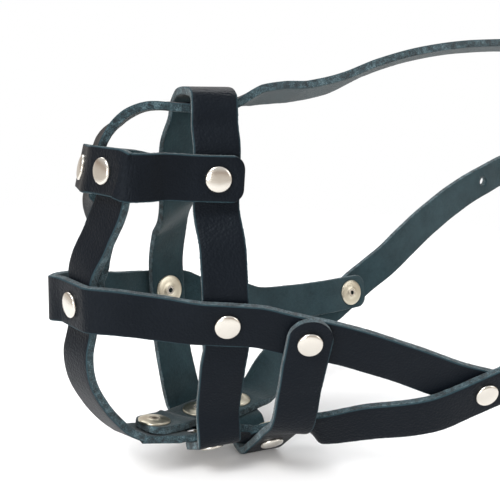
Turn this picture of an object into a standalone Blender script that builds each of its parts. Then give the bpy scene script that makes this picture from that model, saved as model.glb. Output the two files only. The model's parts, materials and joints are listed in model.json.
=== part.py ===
"""A leather basket muzzle: flat straps riveted into an open basket, with a neck strap, a buckle and a keeper.

The nose points to -X, the neck strap lies towards +X, +Z is up, and the origin is the middle of the upright
loop round the snout. Lengths are in millimetres and become metres where a mesh is made. "Near" is the -Y side.
"""

import math

import bmesh
import bpy
from mathutils import Matrix, Vector

MM = 0.001

# Leather
WIDTH = 16.0
LEATHER = 3.0
GAP = 0.3
LAYER = LEATHER + GAP
STEP = 7.0
BEND = math.radians(14)
CORNER = 4.5
ROUND_END = 7.9

# Rivets: a domed cap with a hollow post, and a wide flange at the back
CAP_RADIUS = 4.6
CAP_HEIGHT = 1.3
POST_RADIUS = 1.7
BORE_RADIUS = 1.0
FLANGE_RADIUS = 6.2
FLANGE_HEIGHT = 0.9
SEAT_GAP = 0.2
HOLE_RADIUS = POST_RADIUS + GAP
FLAT = 8.3
END = 9.0
ROUND_SIDES = 12

# Buckle, keeper and neck strap holes
WIRE = 1.5
FRAME_LENGTH = 16.0
FRAME_WIDTH = 20.6
FRAME_TILT = math.radians(20.5)
PRONG_WIDTH = 2.6
PRONG_THICKNESS = 1.5
PRONG_TILT = math.radians(20.1)
PRONG_LENGTH = 18.5
PRONG_SLOT = 3.6
EYE_TURN = math.radians(305)
EYE_STEPS = 12
FOLD_RADIUS = 3.3
KEEPER_WIDTH = 8.0
KEEPER_LEATHER = 2.0
KEEPER_AT = 25.5
PUNCH_RADIUS = 2.3
PUNCH_SPACING = 19.0
SLOT_LENGTH = 5.6

OUTER, INNER = 0.5, -0.5
FIRST, MIDDLE, LAST = 1.0, 0.0, -1.0

# Each rivet: the middle of its leather, the way its cap faces, and how many layers it holds
RIVETS = {
    "band_front_near": ((-35.3, -8.4, 39.8), (-0.94, -0.31, 0.12), 2),
    "band_front_far": ((-37.4, 8.8, 38.2), (-0.96, 0.14, 0.22), 2),
    "band_side_near": ((-0.6, -18.0, 37.6), (-0.27, -0.96, 0.0), 2),
    "band_side_far": ((-2.4, 18.2, 33.5), (-0.30, 0.95, 0.0), 2),
    "ring_front": ((-44.4, -3.2, -6.4), (-0.97, -0.24, 0.0), 3),
    "ring_side_near": ((-0.6, -28.3, -11.1), (-0.29, -0.94, -0.18), 2),
    "ring_side_far": ((-1.7, 31.6, -16.7), (-0.29, 0.94, -0.18), 2),
    "chin_top_near": ((26.1, -39.3, -17.4), (-0.34, -0.92, -0.20), 2),
    "chin_top_far": ((25.0, 38.5, -25.5), (-0.25, 0.94, -0.20), 2),
    "cheek_near": ((95.0, -54.5, -42.0), (-0.20, -0.96, -0.20), 2),
    "cheek_far": ((100.6, 48.6, -34.3), (-0.14, 0.96, -0.22), 2),
    "chin_front": ((-18.4, -2.7, -60.3), (-0.14, -0.12, -0.98), 2),
    "loop_bottom_near": ((2.4, -9.2, -65.2), (0.0, -0.45, -0.89), 2),
    "loop_bottom_far": ((3.9, 7.2, -64.1), (0.0, 0.0, -1.0), 2),
    "chin_bottom_near": ((25.1, -15.4, -65.6), (-0.05, -0.70, -0.71), 2),
    "chin_bottom_far": ((23.9, 13.8, -66.4), (0.0, 0.04, -1.0), 2),
    "nape": ((267.8, 0.0, 55.4), (0.6, 0.0, 0.8), 2),
}

# The neck strap's middle line from the far cheek, over the nape, to the near cheek, with its outward directions
NECK_FAR = [
    ((124.8, 51.8, -21.2), (-0.10, 0.97, -0.20)),
    ((150.0, 55.8, -5.0), (-0.05, 0.97, -0.15)),
    ((174.0, 59.0, 8.0), (0.0, 0.99, -0.05)),
    ((192.0, 59.8, 16.0), (0.06, 0.99, 0.04)),
]
NECK_NEAR = [
    ((276.0, -23.0, 41.5), (0.72, -0.48, 0.50)),
    ((258.0, -41.0, 36.5), (0.58, -0.74, 0.32)),
    ((232.0, -53.5, 29.0), (0.35, -0.91, 0.18)),
    ((205.0, -60.5, 19.5), (0.15, -0.98, 0.08)),
    ((176.0, -63.0, 6.0), (0.03, -0.99, -0.04)),
    ((148.0, -61.5, -10.5), (-0.05, -0.98, -0.14)),
    ((120.0, -58.5, -28.0), (-0.12, -0.97, -0.20)),
]
NAPE_PLACE, NAPE_OUT, NAPE_ALONG = (283.0, 0.0, 44.0), (0.6, 0.0, 0.8), (0.8, 0.0, -0.6)

# The buckle: where the strap crosses its hinge bar, outward, and along the strap towards the nape
BUCKLE_PLACE, BUCKLE_OUT, BUCKLE_ALONG = (230.0, 53.0, 28.0), (0.34, 0.92, 0.18), (0.90, -0.38, 0.24)


def vector(values):
    return Vector(values)


def rivet_point(name, layer):
    """The middle of one leather layer under a rivet."""
    centre, normal, _ = RIVETS[name]
    return vector(centre) + vector(normal).normalized() * layer * LAYER


def free(x, y, z, normal):
    return [(vector((x, y, z)), vector(normal), None)]


def seat(name, layer, along, before=FLAT, after=FLAT, aside=0.0):
    """A flat stretch of strap under a rivet, running along the given direction."""
    normal = vector(RIVETS[name][1]).normalized()
    along = vector(along)
    along = (along - normal * along.dot(normal)).normalized()
    middle = rivet_point(name, layer) + along.cross(normal) * aside
    return [(middle - along * before, normal, along), (middle + along * after, normal, along)]


class Route:
    """A smooth line through a strap's points, with the way its grain side faces."""

    def __init__(self, *groups):
        points = [point for group in groups for point in group]
        places = [point[0] for point in points]
        directions = []
        for index, (place, _, along) in enumerate(points):
            before = places[max(index - 1, 0)]
            after = places[min(index + 1, len(places) - 1)]
            directions.append(along or (after - before).normalized())
        self.samples = []
        self.knots = []
        length = 0.0
        for index in range(len(points) - 1):
            self.knots.append(length)
            start, end = places[index], places[index + 1]
            chord = (end - start).length
            count = max(2, round(chord / 0.5))
            for step in range(count + (index == len(points) - 2)):
                u = step / count
                place = self.hermite(start, end, directions[index] * chord, directions[index + 1] * chord, u)
                normal = points[index][1].normalized().lerp(points[index + 1][1].normalized(), u)
                if self.samples:
                    length += (place - self.samples[-1][1]).length
                self.samples.append((length, place, normal))
        self.length = length

    @staticmethod
    def hermite(start, end, leave, arrive, u):
        return (
            start * (2 * u**3 - 3 * u**2 + 1)
            + leave * (u**3 - 2 * u**2 + u)
            + end * (3 * u**2 - 2 * u**3)
            + arrive * (u**3 - u**2)
        )

    def at(self, distance):
        """Place, direction and grain-side normal at a distance along the route."""
        distance = min(max(distance, 0.0), self.length)
        index = 1
        while index < len(self.samples) - 1 and self.samples[index][0] < distance:
            index += 1
        (low, start, first), (high, end, second) = self.samples[index - 1], self.samples[index]
        share = (distance - low) / max(high - low, 1e-9)
        along = (end - start).normalized()
        normal = first.lerp(second, share)
        normal = (normal - along * normal.dot(along)).normalized()
        return start.lerp(end, share), along, normal

    def stations(self, first, last):
        """Distances between two ends, closer together where the route bends or twists."""
        found = []
        knots = [knot for knot in self.knots if first + 1.0 < knot < last - 1.0]
        for start, end in zip([first, *knots], [*knots, last]):
            found.append(start)
            distance, (_, along, normal) = start, self.at(start)
            probe = start
            while probe + 1.5 < end:
                probe += 0.5
                _, ahead, facing = self.at(probe)
                turned_by = max(along.angle(ahead), normal.angle(facing))
                if probe - distance >= STEP or turned_by > BEND:
                    found.append(probe)
                    distance, along, normal = probe, ahead, facing
        return found[1:]

    def nearest(self, place):
        return min(self.samples, key=lambda sample: (sample[1] - vector(place)).length)[0]


def end_stations(corner):
    """Distances from a strap's end, and how much its half width shrinks there, round a corner radius."""
    angles = [math.pi / 2 * step / 4 for step in range(5)]
    return [(corner * (1 - math.cos(a)), corner * (1 - math.sin(a))) for a in angles]


def strap_rings(route, corners):
    """The four corner points of the strap's section at each station."""
    start_end = end_stations(corners[0])
    finish_end = end_stations(corners[1])
    stations = list(start_end)
    stations += [(distance, 0.0) for distance in route.stations(corners[0], route.length - corners[1])]
    stations += [(route.length - distance, shrink) for distance, shrink in reversed(finish_end)]
    rings = []
    for distance, shrink in stations:
        place, along, normal = route.at(distance)
        across = along.cross(normal) * (WIDTH / 2 - shrink)
        rise = normal * (LEATHER / 2)
        outer = [place + across + rise, place - across + rise]
        rings.append(outer + [place - across - rise, place + across - rise])
    return rings


def mesh_object(name, points, faces, material, smooth=True):
    mesh = bpy.data.meshes.new(name)
    mesh.from_pydata([point * MM for point in points], [], faces)
    mesh.materials.append(material)
    obj = bpy.data.objects.new(name, mesh)
    bpy.context.scene.collection.objects.link(obj)
    work = bmesh.new()
    work.from_mesh(mesh)
    bmesh.ops.recalc_face_normals(work, faces=work.faces)
    work.to_mesh(mesh)
    work.free()
    if smooth:
        mesh.shade_smooth()
        mesh.set_sharp_from_angle(angle=math.radians(40))
    return obj


def swept(name, rings, material, closed=False):
    """Skins a row of sections, each a loop of the same number of points."""
    size = len(rings[0])
    points = [point for ring in rings for point in ring]
    faces = []
    for index in range(len(rings) - (not closed)):
        here, there = index * size, (index + 1) % len(rings) * size
        for corner in range(size):
            other = (corner + 1) % size
            faces.append((here + corner, here + other, there + other, there + corner))
    if not closed:
        faces.append(tuple(reversed(range(size))))
        faces.append(tuple(range(len(points) - size, len(points))))
    return mesh_object(name, points, faces, material)


def turned(name, profile, place, axis, material):
    """Turns a closed profile of (radius, height) points about an axis."""
    frame = Matrix.Translation(vector(place)) @ axis_matrix(axis)
    points = []
    rows = []
    for radius, height in profile:
        if radius == 0:
            rows.append([len(points)] * ROUND_SIDES)
            points.append(frame @ vector((0, 0, height)))
            continue
        rows.append([len(points) + side for side in range(ROUND_SIDES)])
        for side in range(ROUND_SIDES):
            angle = math.tau * side / ROUND_SIDES
            points.append(frame @ vector((radius * math.cos(angle), radius * math.sin(angle), height)))
    faces = []
    for row, after in zip(rows, rows[1:] + rows[:1]):
        for side in range(ROUND_SIDES):
            other = (side + 1) % ROUND_SIDES
            corners = [row[side], row[other], after[other], after[side]]
            unique = [c for i, c in enumerate(corners) if c != corners[i - 1]]
            if len(unique) > 2:
                faces.append(tuple(unique))
    return mesh_object(name, points, faces, material)


def axis_matrix(axis):
    return vector(axis).normalized().to_track_quat("Z", "Y").to_matrix().to_4x4()


def subtract(obj, points, faces):
    """Takes a hidden helper's shape away from an object."""
    helper = mesh_object(obj.name + "_cutter", points, faces, obj.data.materials[0], smooth=False)
    helper.hide_render = True
    helper.display_type = "WIRE"
    modifier = obj.modifiers.new("holes", "BOOLEAN")
    modifier.operation = "DIFFERENCE"
    modifier.object = helper


def cut(obj, cutters):
    """Cuts holes: each cutter is (place, axis, radius, slot length, slot direction)."""
    points = []
    faces = []
    sides = 12
    for place, axis, radius, slot, along in cutters:
        normal = vector(axis).normalized()
        along = vector(along)
        along = (along - normal * along.dot(normal)).normalized()
        across = normal.cross(along)
        base = len(points)
        for end in (-1, 1):
            for side in range(sides):
                angle = math.tau * (side + 0.5) / sides
                reach = math.copysign(slot / 2, math.cos(angle)) if slot else 0.0
                flat = along * (radius * math.cos(angle) + reach) + across * radius * math.sin(angle)
                points.append(vector(place) + flat + normal * end * (LEATHER / 2 + 0.12))
        faces += [
            (base + s, base + (s + 1) % sides, base + sides + (s + 1) % sides, base + sides + s)
            for s in range(sides)
        ]
        faces.append(tuple(base + s for s in reversed(range(sides))))
        faces.append(tuple(base + sides + s for s in range(sides)))
    subtract(obj, points, faces)


def rivet_holes(*names_and_layers):
    holes = []
    for name, layer in names_and_layers:
        centre, normal, _ = RIVETS[name]
        holes.append((rivet_point(name, layer), normal, HOLE_RADIUS, 0.0, (0.1, 0.2, 1.0)))
    return holes


def strap(name, route, leather, holes, corners):
    """A flat strap along a route, with its holes."""
    obj = swept(name, strap_rings(route, corners), leather)
    cut(obj, holes)


def rivet(name, place, axis, layers, metal):
    """A cap with its post, and the flange that the post goes through."""
    half = (layers * LEATHER + (layers - 1) * GAP) / 2 + SEAT_GAP
    cap = [
        (0, half + CAP_HEIGHT),
        (CAP_RADIUS * 0.55, half + CAP_HEIGHT * 0.84),
        (CAP_RADIUS * 0.88, half + CAP_HEIGHT * 0.45),
        (CAP_RADIUS, half + CAP_HEIGHT * 0.12),
        (CAP_RADIUS * 0.96, half),
        (POST_RADIUS, half),
        (POST_RADIUS, -half - FLANGE_HEIGHT),
        (BORE_RADIUS, -half - FLANGE_HEIGHT),
        (BORE_RADIUS, -half + 1.2),
        (0, -half + 0.8),
    ]
    turned(name + "_cap", cap, place, axis, metal)
    back = [
        (HOLE_RADIUS, -half),
        (FLANGE_RADIUS * 0.97, -half),
        (FLANGE_RADIUS, -half - FLANGE_HEIGHT * 0.3),
        (FLANGE_RADIUS * 0.85, -half - FLANGE_HEIGHT * 0.8),
        (HOLE_RADIUS + 1.2, -half - FLANGE_HEIGHT),
        (HOLE_RADIUS, -half - FLANGE_HEIGHT * 0.75),
    ]
    turned(name + "_back", back, place, axis, metal)


def material(name, color, roughness, metallic):
    made = bpy.data.materials.new(name)
    made.use_nodes = True
    shader = made.node_tree.nodes["Principled BSDF"]
    shader.inputs["Base Color"].default_value = (*color, 1)
    shader.inputs["Roughness"].default_value = roughness
    shader.inputs["Metallic"].default_value = metallic
    return made


def frame_of(place, out, along):
    """Axes at a place: across, along and outward."""
    out = vector(out).normalized()
    along = vector(along)
    along = (along - out * along.dot(out)).normalized()
    return vector(place), along, out, along.cross(out)


def near_buckle(distance, height, aside=0.0):
    place, along, out, across = frame_of(BUCKLE_PLACE, BUCKLE_OUT, BUCKLE_ALONG)
    return place + along * distance + out * height + across * aside


def by_buckle(distance, height, slope=0.0, back=False):
    """A strap point by the buckle: its slope is how fast it rises outward."""
    _, along, out, _ = frame_of(BUCKLE_PLACE, BUCKLE_OUT, BUCKLE_ALONG)
    turn = -1 if back else 1
    direction = (along + out * slope).normalized()
    return [(near_buckle(distance, height), (out - along * slope).normalized(), direction * turn)]


def by_nape(distance, height, back=False):
    place, along, out, _ = frame_of(NAPE_PLACE, NAPE_OUT, NAPE_ALONG)
    turn = -1 if back else 1
    return [(place + along * distance + out * height, out * turn, along * turn)]


def fold(middle, along, out):
    """A half turn round a middle: it leaves on the outward side and comes back on the other."""
    points = []
    for step in range(5):
        angle = math.pi * step / 4
        up, ahead = math.cos(angle), math.sin(angle)
        normal = out * up + along * ahead
        points.append((middle + normal * FOLD_RADIUS, normal, along * up - out * ahead))
    return points


def nose_band_route():
    return Route(
        seat("band_side_near", OUTER, (-0.95, 0.27, 0.03), before=END),
        free(-19.0, -17.2, 38.7, (-0.20, -0.98, 0.0)),
        free(-26.5, -19.3, 39.0, (-0.30, -0.95, 0.0)),
        free(-33.0, -19.0, 39.3, (-0.70, -0.71, 0.08)),
        seat("band_front_near", OUTER, (-0.31, 0.95, -0.03), before=7.5, after=6.6),
        seat("band_front_far", OUTER, (0.14, 0.99, -0.05), before=6.0, after=9.4),
        free(-31.6, 21.6, 36.6, (-0.50, 0.86, 0.1)),
        free(-18.0, 20.9, 35.0, (-0.15, 0.98, 0.0)),
        seat("band_side_far", OUTER, (0.95, 0.30, -0.03), after=END),
    )


def ring_route():
    return Route(
        seat("cheek_near", INNER, (-0.95, 0.25, 0.33), before=END),
        free(62.0, -47.6, -28.6, (-0.27, -0.94, -0.25)),
        seat("chin_top_near", INNER, (-0.92, 0.32, 0.24)),
        seat("ring_side_near", OUTER, (-0.95, 0.30, 0.09)),
        free(-24.5, -21.8, -8.4, (-0.38, -0.92, -0.05)),
        free(-37.0, -17.8, -6.4, (-0.54, -0.84, -0.04)),
        free(-44.6, -13.6, -6.0, (-0.80, -0.60, -0.02)),
        seat("ring_front", FIRST, (-0.24, 0.97, -0.04), before=6.5, after=7.0),
        free(-51.8, 11.0, -8.0, (-0.95, 0.30, 0.0)),
        free(-44.0, 19.5, -9.4, (-0.50, 0.87, 0.0)),
        free(-24.0, 24.6, -13.2, (-0.28, 0.95, -0.05)),
        seat("ring_side_far", OUTER, (0.95, 0.28, -0.16)),
        seat("chin_top_far", INNER, (0.96, 0.20, -0.22)),
        free(48.0, 41.2, -32.2, (-0.20, 0.96, -0.22)),
        free(72.0, 44.3, -34.0, (-0.16, 0.96, -0.22)),
        seat("cheek_far", INNER, (0.99, 0.13, 0.02), after=END),
    )


def loop_route():
    return Route(
        seat("loop_bottom_near", OUTER, (0.0, -0.89, 0.45), before=7.0, after=7.0),
        free(1.6, -19.2, -60.4, (-0.14, -0.96, -0.22)),
        free(0.8, -19.6, -48.5, (-0.2, -0.96, -0.12)),
        free(0.2, -24.0, -30.0, (-0.28, -0.95, -0.12)),
        seat("ring_side_near", INNER, (-0.02, 0.18, 0.98)),
        free(-0.5, -23.4, 14.0, (-0.30, -0.95, 0.1)),
        seat("band_side_near", INNER, (0.02, 0.05, 1.0)),
        free(0.2, -13.2, 55.2, (-0.28, -0.92, 0.28)),
        free(0.6, -11.6, 61.0, (-0.20, -0.84, 0.50)),
        free(1.5, -8.4, 64.9, (-0.08, -0.42, 0.90)),
        free(2.7, 0.2, 65.9, (0.0, 0.0, 1.0)),
        free(2.3, 9.3, 64.5, (0, 0.48, 0.88)),
        free(1.6, 12.8, 60.2, (-0.04, 0.88, 0.47)),
        free(1.0, 13.9, 54.6, (-0.12, 0.95, 0.28)),
        seat("band_side_far", INNER, (0.0, 0.03, -1.0)),
        free(-1.0, 27.8, 10.0, (-0.30, 0.95, 0.0)),
        seat("ring_side_far", INNER, (-0.02, -0.18, -0.98)),
        free(-0.6, 25.6, -38.0, (-0.25, 0.92, -0.28)),
        free(0.2, 21.4, -49.0, (-0.2, 0.90, -0.36)),
        free(2.6, 20.1, -61.2, (-0.03, 0.90, -0.42)),
        seat("loop_bottom_far", OUTER, (0.0, -1.0, 0.0), before=9.6, after=4.4),
    )


def chin_route():
    return Route(
        seat("chin_top_near", OUTER, (-0.05, 0.18, -0.98), before=END),
        free(25.0, -36.8, -36.0, (-0.25, -0.93, -0.24)),
        free(25.2, -32.0, -53.4, (-0.30, -0.86, -0.40)),
        seat("chin_bottom_near", OUTER, (0.0, 0.68, -0.73)),
        free(24.4, -6.4, -75.0, (0.0, -0.35, -0.94)),
        free(24.2, 1.0, -73.0, (0.0, 0.40, -0.92)),
        seat("chin_bottom_far", OUTER, (0.0, 1.0, 0.04), after=10.0),
        free(24.8, 32.0, -53.6, (-0.15, 0.85, -0.5)),
        free(25.2, 37.3, -40.0, (-0.20, 0.92, -0.3)),
        seat("chin_top_far", OUTER, (0.03, 0.18, 0.98), after=END),
    )


def forehead_route():
    place, along, out, _ = frame_of(NAPE_PLACE, NAPE_OUT, NAPE_ALONG)
    return Route(
        seat("ring_front", LAST, (0.10, 0.10, 1.0), before=END, after=8.0),
        free(-38.9, -0.9, 6.5, (-0.965, -0.24, 0.0)),
        free(-34.2, 5.0, 18.0, (-0.96, -0.18, 0.0)),
        seat("band_front_far", INNER, (0.22, 0.04, 1.0), before=8.6, after=8.0, aside=-1.3),
        free(-29.0, 7.2, 53.4, (-0.73, 0.33, 0.59)),
        free(-24.4, 5.2, 57.8, (-0.47, 0.28, 0.83)),
        free(-18.6, 2.8, 60.3, (-0.21, 0.17, 0.96)),
        free(-10.0, 1.0, 60.4, (-0.04, 0.03, 1.0)),
        free(2.5, 0.2, 60.2, (0.0, 0.0, 1.0)),
        free(11.5, 0.2, 61.4, (-0.12, 0.06, 0.99)),
        free(22.0, -0.3, 64.4, (-0.20, 0.38, 0.88)),
        free(31.0, -0.5, 65.5, (-0.06, 0.42, 0.91)),
        free(40.0, -0.4, 66.0, (-0.12, 0.38, 0.92)),
        free(55.0, -0.4, 69.0, (-0.25, 0.40, 0.88)),
        free(72.0, 0.0, 75.4, (-0.27, 0.32, 0.91)),
        free(93.0, 0.0, 81.0, (-0.17, 0.25, 0.95)),
        free(120.0, 0.2, 84.8, (-0.08, 0.18, 0.98)),
        free(160.0, 1.4, 86.0, (0.03, 0.12, 0.99)),
        free(200.0, 2.0, 81.6, (0.20, 0.0, 0.98)),
        free(236.0, 1.0, 71.0, (0.38, 0.0, 0.92)),
        seat("nape", OUTER, NAPE_ALONG, before=8.0, after=6.5),
        by_nape(-8.8, LAYER),
        fold(place + along * 8.2, along, out),
        by_nape(-8.8, -LAYER, back=True),
        [(rivet_point("nape", INNER) + along * 6.5, -out, -along)],
        [(rivet_point("nape", INNER) - along * 8.0, -out, -along)],
    )


def tongue_route():
    """The far strap: from under the chin, past the cheek, through the buckle, to its tip."""
    neck = [free(*place, normal) for place, normal in NECK_FAR]
    return Route(
        seat("chin_front", INNER, (0.94, 0.34, -0.10), before=5.2, after=7.0),
        free(-7.6, 1.6, -60.2, (-0.05, -0.05, -0.99)),
        seat("loop_bottom_far", INNER, (0.94, 0.34, 0.0), after=9.8),
        seat("chin_bottom_far", INNER, (0.93, 0.34, 0.14), after=9.0),
        free(50.0, 30.0, -58.4, (-0.12, 0.76, -0.62)),
        free(77.0, 46.0, -46.4, (-0.15, 0.94, -0.28)),
        seat("cheek_far", OUTER, (0.88, 0.22, 0.44), aside=-1.2),
        *neck,
        by_buckle(-18.5, -1.0),
        by_buckle(-12.5, -1.0),
        by_buckle(-8.5, 0.5, slope=0.42),
        by_buckle(-3.2, 2.7, slope=0.38),
        by_buckle(1.5, 3.9, slope=0.16),
        by_buckle(8.0, 5.0),
        by_buckle(17.0, 5.0),
        by_buckle(21.6, 3.4),
        by_buckle(38.0, 3.4),
        free(277.0, 30.2, 42.5, (0.68, 0.60, 0.42)),
    )


def buckle_route():
    """The long strap: down the front, under the chin, past the near cheek, over the nape, to the buckle."""
    place, along, out, across = frame_of(NAPE_PLACE, NAPE_OUT, NAPE_ALONG)
    neck = [free(*point, normal) for point, normal in reversed(NECK_NEAR)]
    _, towards, outward, _ = frame_of(BUCKLE_PLACE, BUCKLE_OUT, BUCKLE_ALONG)
    return Route(
        seat("band_front_near", INNER, (-0.20, 0.04, -0.97), before=7.2, after=8.6, aside=-1.3),
        free(-38.8, -6.2, 18.0, (-0.96, -0.26, 0.0)),
        seat("ring_front", MIDDLE, (-0.10, 0.02, -1.0)),
        free(-46.6, -3.8, -25.0, (-0.95, -0.29, -0.02)),
        free(-45.4, -3.7, -35.0, (-0.92, -0.30, -0.2)),
        free(-40.9, -3.5, -44.8, (-0.80, -0.30, -0.52)),
        free(-35.3, -3.4, -52.8, (-0.66, -0.30, -0.68)),
        free(-29.4, -3.3, -58.6, (-0.45, -0.28, -0.85)),
        seat("chin_front", OUTER, (0.97, -0.14, -0.12), before=6.0, after=9.0),
        seat("loop_bottom_near", INNER, (0.96, -0.28, 0.14), before=6.5, aside=1.5),
        seat("chin_bottom_near", INNER, (0.92, -0.36, 0.22), before=7.0, after=11.5),
        free(41.0, -25.6, -61.2, (-0.14, -0.95, -0.3)),
        free(56.0, -36.0, -56.4, (-0.18, -0.965, -0.16)),
        free(74.0, -49.2, -50.9, (-0.20, -0.965, -0.17)),
        seat("cheek_near", OUTER, (0.88, -0.28, 0.38)),
        *neck,
        [(place + across * 10.5, out, -across)],
        [(place - across * 10.5, out, -across)],
        free(273.5, 26.5, 41.0, (0.66, 0.62, 0.42)),
        by_buckle(38.0, 0.0, back=True),
        by_buckle(4.0, 0.0, back=True),
        fold(near_buckle(0.0, -FOLD_RADIUS), -towards, outward),
        [(near_buckle(6.5, -LAYER), -outward, towards)],
        [(near_buckle(19.8, -LAYER), -outward, towards)],
    )


ROUTES = {
    "nose_band": nose_band_route,
    "side_ring": ring_route,
    "snout_loop": loop_route,
    "chin_strap": chin_route,
    "forehead_strap": forehead_route,
    "tongue_strap": tongue_route,
    "buckle_strap": buckle_route,
}

# The rivets that go through each strap, and the layer that the strap is there
CROSSINGS = {
    "nose_band": [
        ("band_side_near", OUTER),
        ("band_front_near", OUTER),
        ("band_front_far", OUTER),
        ("band_side_far", OUTER),
    ],
    "side_ring": [
        ("cheek_near", INNER),
        ("chin_top_near", INNER),
        ("ring_side_near", OUTER),
        ("ring_front", FIRST),
        ("ring_side_far", OUTER),
        ("chin_top_far", INNER),
        ("cheek_far", INNER),
    ],
    "snout_loop": [
        ("loop_bottom_near", OUTER),
        ("ring_side_near", INNER),
        ("band_side_near", INNER),
        ("band_side_far", INNER),
        ("ring_side_far", INNER),
        ("loop_bottom_far", OUTER),
    ],
    "chin_strap": [
        ("chin_top_near", OUTER),
        ("chin_bottom_near", OUTER),
        ("chin_bottom_far", OUTER),
        ("chin_top_far", OUTER),
    ],
    "forehead_strap": [("ring_front", LAST), ("band_front_far", INNER), ("nape", OUTER), ("nape", INNER)],
    "tongue_strap": [
        ("chin_front", INNER),
        ("loop_bottom_far", INNER),
        ("chin_bottom_far", INNER),
        ("cheek_far", OUTER),
    ],
    "buckle_strap": [
        ("band_front_near", INNER),
        ("ring_front", MIDDLE),
        ("chin_front", OUTER),
        ("loop_bottom_near", INNER),
        ("chin_bottom_near", INNER),
        ("cheek_near", OUTER),
        ("buckle_fold", OUTER),
        ("buckle_fold", INNER),
    ],
}

# Corner radii at a strap's two ends, where they differ from CORNER
STRAP_ENDS = {
    "snout_loop": (1.0, 1.0),
    "chin_strap": (ROUND_END, ROUND_END),
    "tongue_strap": (5.0, ROUND_END),
}


def materials():
    leather = material("black_leather", (0.012, 0.014, 0.018), 0.5, 0.0)
    metal = material("nickel", (0.72, 0.69, 0.64), 0.25, 1.0)
    return leather, metal


def clear_scene():
    for obj in list(bpy.data.objects):
        bpy.data.objects.remove(obj)


def punch_holes(route):
    """The row of holes in the tongue: the third is drawn out into a slot by the prong."""
    first = route.nearest(NECK_FAR[-1][0])
    slot_at = route.nearest(near_buckle(-6.0, 1.5))
    holes = []
    for index in range(5):
        if index == 2:
            continue
        distance = first + index * PUNCH_SPACING if index < 2 else slot_at + (index - 2) * PUNCH_SPACING
        place, along, normal = route.at(distance)
        holes.append((place, normal, PUNCH_RADIUS, 0.0, along))
    place, along, normal = route.at(slot_at)
    holes.append((place, normal, PRONG_SLOT / 2, SLOT_LENGTH, along))
    return holes


def cut_prong_slot(obj):
    """Opens the fold round the hinge bar so that the prong can swing."""
    points = [
        near_buckle(distance, height, aside)
        for aside in (-PRONG_SLOT / 2, PRONG_SLOT / 2)
        for distance, height in ((-7.0, -9.0), (4.2, -9.0), (4.2, 2.4), (-7.0, 2.4))
    ]
    subtract(obj, points, [(0, 1, 2, 3), (4, 5, 6, 7), (0, 1, 5, 4), (1, 2, 6, 5), (2, 3, 7, 6), (3, 0, 4, 7)])


def hinge_axes(tilt):
    """The hinge bar's middle, and directions to the front, across and up, tilted outward by an angle."""
    _, along, out, across = frame_of(BUCKLE_PLACE, BUCKLE_OUT, BUCKLE_ALONG)
    front = -along * math.cos(tilt) + out * math.sin(tilt)
    up = out * math.cos(tilt) + along * math.sin(tilt)
    return near_buckle(0.0, -FOLD_RADIUS), front, across, up


def set_origin(obj, place):
    """Moves an object's origin to a place and leaves its shape where it is."""
    place = vector(place) * MM
    obj.data.transform(Matrix.Translation(-place))
    obj.location = place


def buckle_frame(metal):
    """A round wire bent to a rectangle: one short side is the hinge bar."""
    middle, front, across, up = hinge_axes(FRAME_TILT)
    half = FRAME_WIDTH / 2
    corners = ((0.0, -half, 1.9), (FRAME_LENGTH, -half, 4.0), (FRAME_LENGTH, half, 4.0), (0.0, half, 1.9))
    turns = [math.tau * turn / 10 for turn in range(10)]
    rings = []
    for index, (ahead, aside, radius) in enumerate(corners):
        ahead += math.copysign(radius, FRAME_LENGTH / 2 - ahead)
        aside -= math.copysign(radius, aside)
        for step in range(5):
            angle = math.pi + math.pi / 2 * (index + step / 4)
            outward = front * math.cos(angle) + across * math.sin(angle)
            place = middle + front * ahead + across * aside + outward * radius
            rings.append([place + (outward * math.cos(t) + up * math.sin(t)) * WIRE for t in turns])
    obj = swept("buckle_frame", rings, metal, closed=True)
    set_origin(obj, middle)
    return obj


def buckle_prong(metal):
    """A flat prong whose eye is bent round the hinge bar and whose tip rests on the frame."""
    middle, front, across, up = hinge_axes(PRONG_TILT)
    radius = WIRE + GAP + PRONG_THICKNESS / 2
    rings = []
    for step in range(EYE_STEPS + 1):
        angle = EYE_TURN * (step / EYE_STEPS - 1)
        outward = front * math.sin(angle) + up * math.cos(angle)
        rings.append(prong_section(middle + outward * radius, across, outward, PRONG_WIDTH, PRONG_THICKNESS))
    for share, width, thickness in ((0.4, 1.0, 1.0), (0.8, 1.0, 1.0), (0.95, 0.85, 0.9), (1.0, 0.5, 0.5)):
        place = middle + front * PRONG_LENGTH * share + up * radius
        rings.append(prong_section(place, across, up, PRONG_WIDTH * width, PRONG_THICKNESS * thickness))
    obj = swept("buckle_prong", rings, metal)
    set_origin(obj, middle)
    return obj


def prong_section(place, across, outward, width, thickness):
    """A rectangle with its corners cut off."""
    quarters = ((1, 1), (-1, 1), (-1, -1), (1, -1))
    section = []
    for a, b in quarters:
        pair = [(0.5 * a, 0.3 * b), (0.3 * a, 0.5 * b)]
        section += pair if a * b > 0 else reversed(pair)
    return [place + across * width * a + outward * thickness * b for a, b in section]


def keeper(leather):
    """A narrow leather loop round both layers of the neck strap."""
    _, along, out, across = frame_of(BUCKLE_PLACE, BUCKLE_OUT, BUCKLE_ALONG)
    middle = near_buckle(KEEPER_AT, LAYER / 2 + 0.05)
    half_wide = WIDTH / 2 + 0.6
    half_high = (LEATHER * 2 + GAP) / 2 + 0.4
    rings = []
    for index, (a, b) in enumerate(((1, 1), (-1, 1), (-1, -1), (1, -1))):
        for step in range(4):
            angle = math.pi / 2 * (index + step / 3)
            flat = across * math.cos(angle) + out * math.sin(angle)
            corner = middle + across * a * (half_wide - 0.5) + out * b * (half_high - 0.5)
            near, far = corner + flat * 0.5, corner + flat * (0.5 + KEEPER_LEATHER)
            half = along * KEEPER_WIDTH / 2
            rings.append([near - half, near + half, far + half, far - half])
    obj = swept("keeper", rings, leather, closed=True)
    set_origin(obj, middle)
    return obj


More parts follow.
